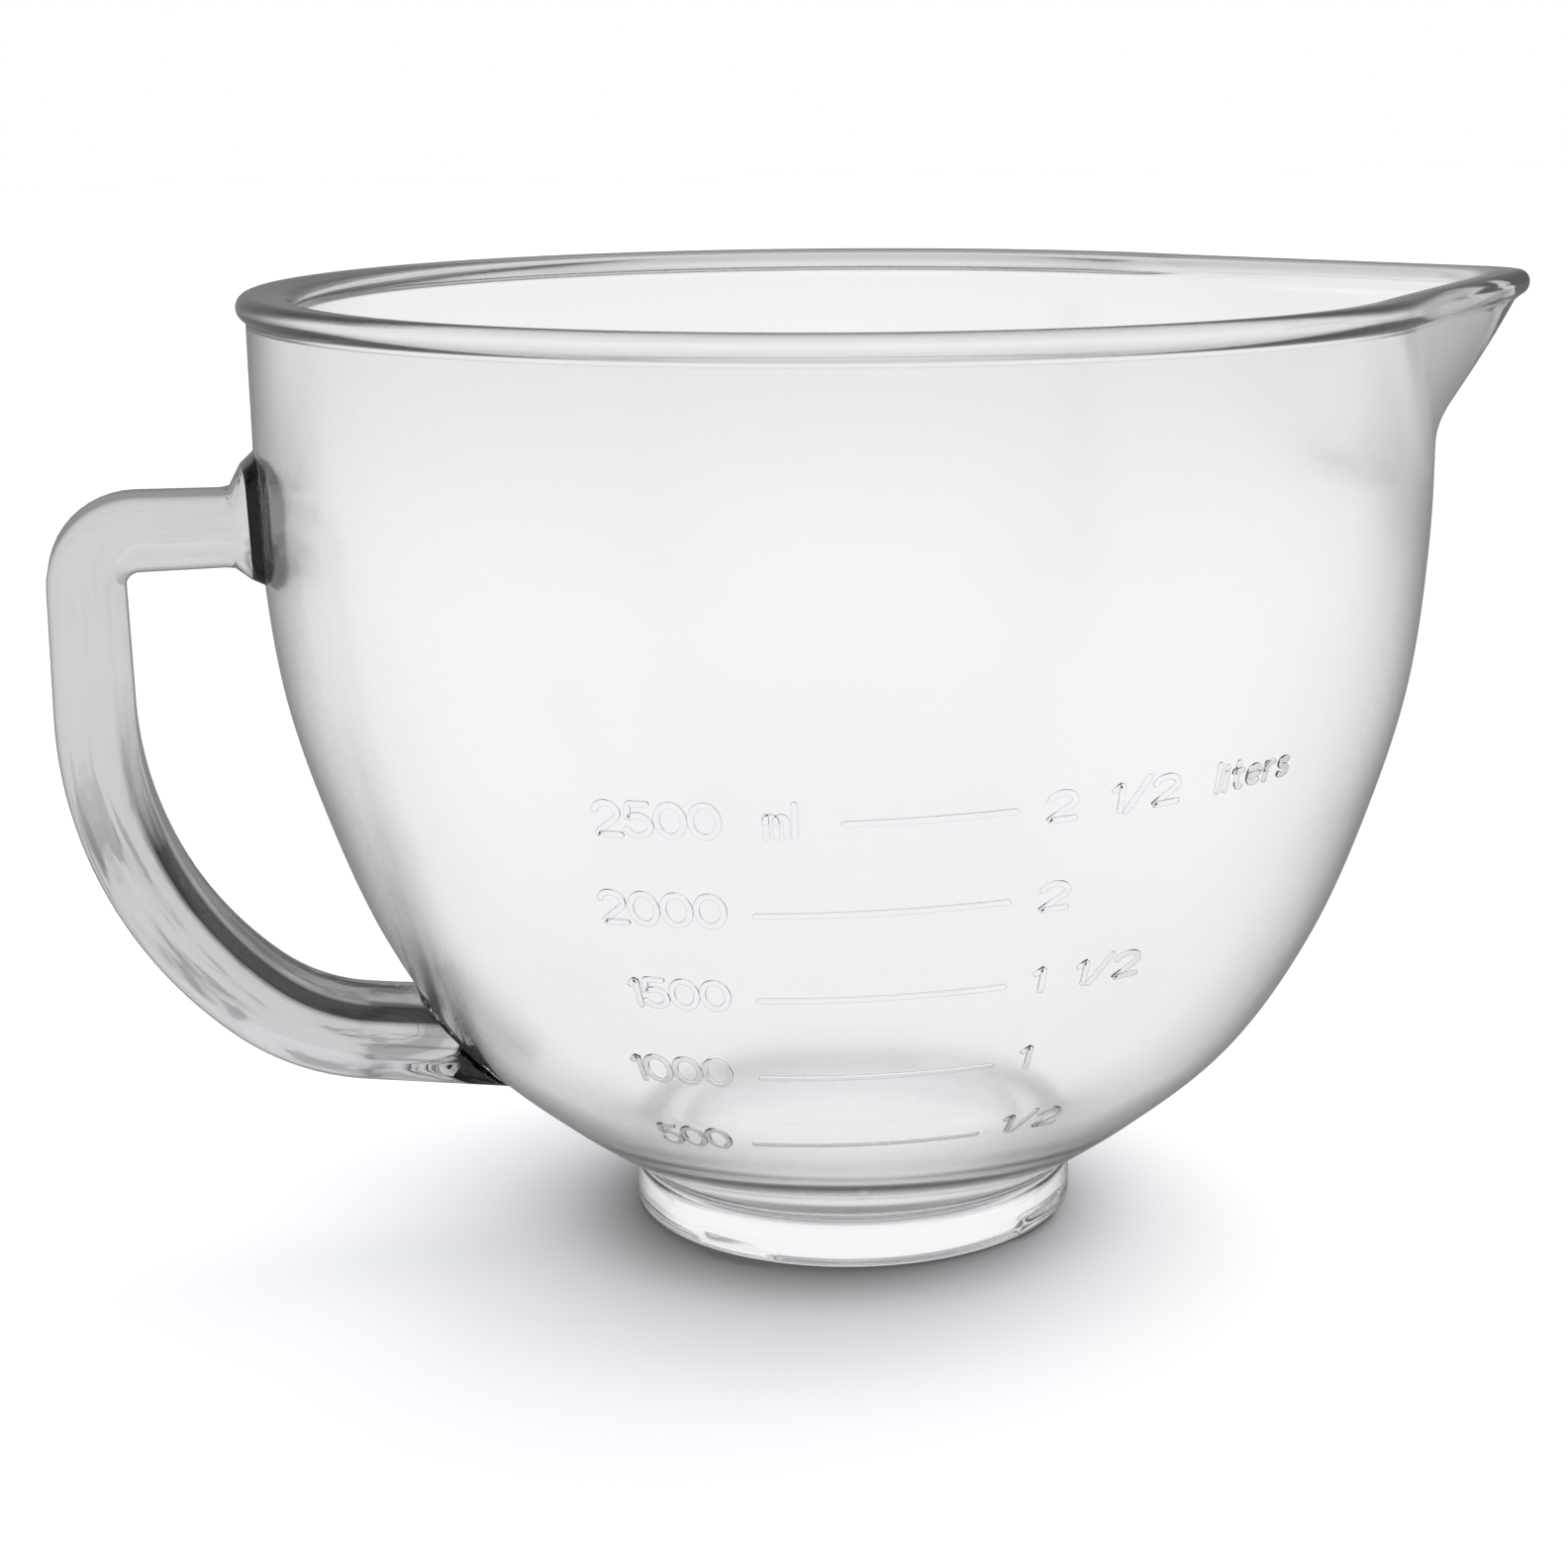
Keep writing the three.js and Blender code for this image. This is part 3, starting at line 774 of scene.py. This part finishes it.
def streaks(nodes, links, tone_and_shade):
    """Paints shade on a sweep: dark streaks along it, stronger towards its end, and a dark line along its
    inner edge.
    """
    flow = nodes.new("ShaderNodeAttribute")
    flow.attribute_name = "flow"
    split = nodes.new("ShaderNodeSeparateXYZ")
    links.new(flow.outputs["Vector"], split.inputs["Vector"])
    spread = nodes.new("ShaderNodeMapping")
    spread.inputs["Scale"].default_value = STREAK_STRETCH
    links.new(flow.outputs["Vector"], spread.inputs["Vector"])
    noise = nodes.new("ShaderNodeTexNoise")
    noise.inputs["Scale"].default_value = STREAK_SCALE
    noise.inputs["Detail"].default_value = STREAK_DETAIL
    links.new(spread.outputs["Vector"], noise.inputs["Vector"])
    painted_streaks = grey_ramp(nodes, STREAK_SHADE)
    links.new(noise.outputs["Fac"], painted_streaks.inputs["Fac"])
    share = nodes.new("ShaderNodeMapRange")
    share.inputs["From Min"].default_value = STREAK_START[0]
    share.inputs["From Max"].default_value = STREAK_START[1]
    share.inputs["To Min"].default_value = STREAK_LEAST
    links.new(split.outputs["X"], share.inputs["Value"])
    tone_and_shade = multiplied(nodes, links, tone_and_shade, painted_streaks.outputs["Color"], share.outputs["Result"])
    across = nodes.new("ShaderNodeMapRange")
    across.inputs["From Min"].default_value = -1
    links.new(split.outputs["Z"], across.inputs["Value"])
    edge = grey_ramp(nodes, INNER_EDGE_SHADE)
    links.new(across.outputs["Result"], edge.inputs["Fac"])
    return multiplied(nodes, links, tone_and_shade, edge.outputs["Color"], share.outputs["Result"])


def rim_shade(nodes, links, tone_and_shade):
    """Paints shade: darkens the glass along lines round the rim, in place of the dark reflections in the
    bead's rounding.
    """
    flow = nodes.new("ShaderNodeAttribute")
    flow.attribute_name = "flow"
    split = nodes.new("ShaderNodeSeparateXYZ")
    links.new(flow.outputs["Vector"], split.inputs["Vector"])
    return multiplied(nodes, links, tone_and_shade, split.outputs["X"])


def glass_material(name, colour, wave, shadow, tone_and_shade, pattern=None, roughness=0.0):
    """Clear glass with a slight surface wave and a tone, darkened towards edge-on views as painted shade. It
    lets part of the light through to its shadow.
    """
    material = bpy.data.materials.new(name)
    material.use_nodes = True
    nodes, links = material.node_tree.nodes, material.node_tree.links
    nodes.clear()
    output = nodes.new("ShaderNodeOutputMaterial")
    glass = nodes.new("ShaderNodeBsdfPrincipled")
    glass.inputs["Base Color"].default_value = (1, 1, 1, 1)
    glass.inputs["Transmission Weight"].default_value = 1
    glass.inputs["Roughness"].default_value = roughness
    glass.inputs["IOR"].default_value = GLASS_IOR
    # Painted shade: a ramp on how far the surface turns away darkens the glass's colour towards edge-on,
    # drawing dark outlines; it is full strength where a camera ray meets the glass first and weaker
    # elsewhere.
    facing = nodes.new("ShaderNodeLayerWeight")
    facing.inputs["Blend"].default_value = 0.5
    edge = grey_ramp(nodes, tone_and_shade)
    links.new(facing.outputs["Facing"], edge.inputs["Fac"])
    path = nodes.new("ShaderNodeLightPath")
    first_hit = nodes.new("ShaderNodeMapRange")
    first_hit.inputs["To Min"].default_value = INSIDE_EDGE_SHADE_SHARE
    links.new(path.outputs["Is Camera Ray"], first_hit.inputs["Value"])
    lightest = grey_ramp(nodes, [(0, tone_and_shade[0][1]), (1, tone_and_shade[0][1])])
    seen_first = first_hit.outputs["Result"]
    shade = multiplied(nodes, links, lightest.outputs["Color"], edge.outputs["Color"], seen_first)
    if pattern:
        shade = pattern(nodes, links, shade)
    links.new(shade, glass.inputs["Base Color"])
    place = nodes.new("ShaderNodeTexCoord")
    noise = nodes.new("ShaderNodeTexNoise")
    noise.inputs["Scale"].default_value = wave[1]
    noise.inputs["Detail"].default_value = WAVE_DETAIL
    links.new(place.outputs["Object"], noise.inputs["Vector"])
    bump = nodes.new("ShaderNodeBump")
    bump.inputs["Strength"].default_value = 1
    bump.inputs["Distance"].default_value = wave[0]
    links.new(noise.outputs["Fac"], bump.inputs["Height"])
    links.new(bump.outputs["Normal"], glass.inputs["Normal"])
    clear = nodes.new("ShaderNodeBsdfTransparent")
    split = nodes.new("ShaderNodeSeparateXYZ")
    links.new(place.outputs["Object"], split.inputs["Vector"])
    height = nodes.new("ShaderNodeMapRange")
    height.inputs["From Min"].default_value = 0
    height.inputs["From Max"].default_value = SHADOW_TOP
    links.new(split.outputs["Z"], height.inputs["Value"])
    fade = grey_ramp(nodes, shadow, SHADOW_COOL)
    links.new(height.outputs["Result"], fade.inputs["Fac"])
    links.new(fade.outputs["Color"], clear.inputs["Color"])
    mix = nodes.new("ShaderNodeMixShader")
    links.new(path.outputs["Is Shadow Ray"], mix.inputs["Fac"])
    links.new(glass.outputs["BSDF"], mix.inputs[1])
    links.new(clear.outputs["BSDF"], mix.inputs[2])
    links.new(mix.outputs["Shader"], output.inputs["Surface"])
    absorb = nodes.new("ShaderNodeVolumeAbsorption")
    absorb.inputs["Color"].default_value = (*colour, 1)
    absorb.inputs["Density"].default_value = GLASS_DENSITY
    links.new(absorb.outputs["Volume"], output.inputs["Volume"])
    return material


FLOOR_ALBEDO = 0.42
FLOOR_SEEN_THROUGH = 0.98
FLOOR_GLOW = 0.04
SUN_STRENGTH = 9.0
ROOM_ON_FLOOR = 0.25
REFLECTED_ROOM = 0.3
ROOM_STRENGTH = 1.08
BACKDROP_AZIMUTH = 14.0
CEILING = [(0.30, (1, 1, 1, 1)), (0.65, (0.45, 0.455, 0.47, 1))]
FLOOR_HALF_SIZE = 6
# Each light's direction round and above the bowl and its angle, in degrees.
KEY_LIGHT = (112, 52, 36)
BACK_LIGHT = (166, 66, 36)
LIGHT_SHARE = 0.5
CAMERA_LENS = 68.0
CAMERA_SHIFT = -0.0816
CAMERA_DISTANCE = 0.598
CAMERA_AZIMUTH = 13
CAMERA_HEIGHT = 0.2328
CAMERA_TURN = 0.0216
CAMERA_DROP = 0.2368
CAMERA_ROLL = -0.0043
ROOM_PATTERN = [(0.0, 0.9), (0.30, 0.85), (0.45, 0.6), (0.60, 0.6), (0.85, 0.97), (1.0, 1.0)]


def room_pattern(nodes, links, direction):
    """Brightness round the room: white before and behind, with darker flags between."""
    flat = nodes.new("ShaderNodeVectorMath")
    flat.operation = "MULTIPLY"
    flat.inputs[1].default_value = (1, 1, 0)
    links.new(direction, flat.inputs[0])
    unit = nodes.new("ShaderNodeVectorMath")
    unit.operation = "NORMALIZE"
    links.new(flat.outputs["Vector"], unit.inputs[0])
    facing = nodes.new("ShaderNodeVectorMath")
    facing.operation = "DOT_PRODUCT"
    turn = math.radians(BACKDROP_AZIMUTH)
    facing.inputs[1].default_value = (math.sin(turn), math.cos(turn), 0)
    links.new(unit.outputs["Vector"], facing.inputs[0])
    square = nodes.new("ShaderNodeMath")
    square.operation = "POWER"
    square.inputs[1].default_value = 2
    size = nodes.new("ShaderNodeMath")
    size.operation = "ABSOLUTE"
    links.new(facing.outputs["Value"], size.inputs[0])
    links.new(size.outputs["Value"], square.inputs[0])
    ramp = grey_ramp(nodes, ROOM_PATTERN)
    links.new(square.outputs["Value"], ramp.inputs["Fac"])
    return ramp.outputs["Color"]


def reflected_less(nodes, links, path, strength):
    """A strength that drops for what a surface mirrors, so that glass keeps its dark outlines."""
    drop = nodes.new("ShaderNodeMapRange")
    drop.inputs["To Min"].default_value = strength
    drop.inputs["To Max"].default_value = strength * REFLECTED_ROOM
    mirrored = nodes.new("ShaderNodeMath")
    mirrored.operation = "SUBTRACT"
    mirrored.use_clamp = True
    links.new(path.outputs["Is Glossy Ray"], mirrored.inputs[0])
    links.new(path.outputs["Is Transmission Ray"], mirrored.inputs[1])
    links.new(mirrored.outputs["Value"], drop.inputs["Value"])
    return drop.outputs["Result"]


def floor_material():
    """White to the camera, apart from shadows, and as bright as the room seen through the glass."""
    material = bpy.data.materials.new("pale_floor")
    material.use_nodes = True
    nodes, links = material.node_tree.nodes, material.node_tree.links
    nodes.clear()
    output = nodes.new("ShaderNodeOutputMaterial")
    matt = nodes.new("ShaderNodeBsdfDiffuse")
    matt.inputs["Color"].default_value = (FLOOR_ALBEDO, FLOOR_ALBEDO, FLOOR_ALBEDO, 1)
    path = nodes.new("ShaderNodeLightPath")
    dim = nodes.new("ShaderNodeEmission")
    links.new(reflected_less(nodes, links, path, FLOOR_SEEN_THROUGH), dim.inputs["Strength"])
    glow = nodes.new("ShaderNodeEmission")
    glow.inputs["Strength"].default_value = FLOOR_GLOW
    add = nodes.new("ShaderNodeAddShader")
    links.new(matt.outputs["BSDF"], add.inputs[0])
    links.new(glow.outputs["Emission"], add.inputs[1])
    mix = nodes.new("ShaderNodeMixShader")
    links.new(path.outputs["Is Camera Ray"], mix.inputs["Fac"])
    links.new(dim.outputs["Emission"], mix.inputs[1])
    links.new(add.outputs["Shader"], mix.inputs[2])
    links.new(mix.outputs["Shader"], output.inputs["Surface"])
    return material


# ---- studio ----
def camera():
    data = bpy.data.cameras.new("camera")
    data.sensor_width = 36
    data.lens = CAMERA_LENS
    data.shift_x = CAMERA_SHIFT
    data.clip_start = 0.01
    made = bpy.data.objects.new("camera", data)
    bpy.context.scene.collection.objects.link(made)
    azimuth = math.radians(CAMERA_AZIMUTH)
    x = AXIS_X - CAMERA_DISTANCE * math.sin(azimuth)
    made.location = (x, -CAMERA_DISTANCE * math.cos(azimuth), CAMERA_HEIGHT)
    turn = azimuth + CAMERA_TURN
    tilt = math.pi / 2 - CAMERA_DROP
    made.matrix_world = (
        Matrix.Translation(made.location)
        @ Matrix.Rotation(-turn, 4, "Z")
        @ Matrix.Rotation(tilt, 4, "X")
        @ Matrix.Rotation(CAMERA_ROLL, 4, "Z")
    )
    bpy.context.scene.camera = made


def sun_light(name, azimuth, elevation, angle, strength):
    """A soft light from a direction round and above the bowl, with 0 in front and 90 at the spout."""
    data = bpy.data.lights.new(name, "SUN")
    data.angle = math.radians(angle)
    data.energy = strength
    light = bpy.data.objects.new(name, data)
    a, e = math.radians(azimuth), math.radians(elevation)
    back = Vector((math.sin(a) * math.cos(e), -math.cos(a) * math.cos(e), math.sin(e)))
    light.rotation_euler = (-back).to_track_quat("-Z", "Y").to_euler()
    light.visible_transmission = False
    light.visible_glossy = False
    bpy.context.scene.collection.objects.link(light)


def studio():
    """The room, the two lights and the floor."""
    world = bpy.data.worlds.new("studio")
    bpy.context.scene.world = world
    world.use_nodes = True
    nodes, links = world.node_tree.nodes, world.node_tree.links
    nodes.clear()
    output = nodes.new("ShaderNodeOutputWorld")
    place = nodes.new("ShaderNodeTexCoord")
    split = nodes.new("ShaderNodeSeparateXYZ")
    links.new(place.outputs["Generated"], split.inputs["Vector"])
    ceiling = nodes.new("ShaderNodeValToRGB")
    links.new(split.outputs["Z"], ceiling.inputs["Fac"])
    for element, (position, colour) in zip(ceiling.color_ramp.elements, CEILING):
        element.position = position
        element.color = colour
    shade = nodes.new("ShaderNodeMixRGB")
    shade.blend_type = "MULTIPLY"
    shade.inputs["Fac"].default_value = 1
    links.new(ceiling.outputs["Color"], shade.inputs["Color1"])
    links.new(room_pattern(nodes, links, place.outputs["Generated"]), shade.inputs["Color2"])
    path = nodes.new("ShaderNodeLightPath")
    room = nodes.new("ShaderNodeBackground")
    links.new(shade.outputs["Color"], room.inputs["Color"])
    on_floor = nodes.new("ShaderNodeMapRange")
    on_floor.inputs["To Min"].default_value = 1
    on_floor.inputs["To Max"].default_value = ROOM_ON_FLOOR
    links.new(path.outputs["Is Diffuse Ray"], on_floor.inputs["Value"])
    strength = nodes.new("ShaderNodeMath")
    strength.operation = "MULTIPLY"
    links.new(reflected_less(nodes, links, path, ROOM_STRENGTH), strength.inputs[0])
    links.new(on_floor.outputs["Result"], strength.inputs[1])
    links.new(strength.outputs["Value"], room.inputs["Strength"])
    white = nodes.new("ShaderNodeBackground")
    white.inputs["Color"].default_value = (1, 1, 1, 1)
    mix = nodes.new("ShaderNodeMixShader")
    links.new(path.outputs["Is Camera Ray"], mix.inputs["Fac"])
    links.new(room.outputs["Background"], mix.inputs[1])
    links.new(white.outputs["Background"], mix.inputs[2])
    links.new(mix.outputs["Shader"], output.inputs["Surface"])
    bpy.context.scene.view_settings.view_transform = "Standard"
    bpy.context.scene.cycles.caustics_refractive = False
    bpy.context.scene.cycles.caustics_reflective = False
    sun_light("key", *KEY_LIGHT, SUN_STRENGTH * LIGHT_SHARE)
    sun_light("back", *BACK_LIGHT, SUN_STRENGTH * LIGHT_SHARE)
    size = FLOOR_HALF_SIZE
    corners = [(-size, -size, 0), (size, -size, 0), (size, size, 0), (-size, size, 0)]
    mesh = bpy.data.meshes.new("floor")
    mesh.from_pydata(corners, [], [(0, 1, 2, 3)])
    mesh.materials.append(floor_material())
    floor = bpy.data.objects.new("floor", mesh)
    bpy.context.scene.collection.objects.link(floor)


camera()
studio()
body_glass = glass_material(
    "body_glass", BODY_COLOUR, BODY_WAVE, BODY_SHADOW, BODY_EDGE_SHADE, rim_shade, BODY_ROUGHNESS
)
handle_glass = glass_material("handle_glass", HANDLE_COLOUR, HANDLE_WAVE, LIGHT_SHADOW, HANDLE_TONE_AND_EDGE_SHADE, streaks)
seam_glass = glass_material("seam_glass", HANDLE_COLOUR, SEAM_WAVE, LIGHT_SHADOW, SEAM_TINT)
relief_glass = glass_material("relief_glass", HANDLE_COLOUR, RELIEF_WAVE, LIGHT_SHADOW, RELIEF_EDGE_SHADE)
body(body_glass)
handle_pieces(handle_glass, seam_glass)
for row, (row_volume, row_layout) in enumerate(ROWS.items()):
    scale_row(row, row_volume, *row_layout, relief_glass)
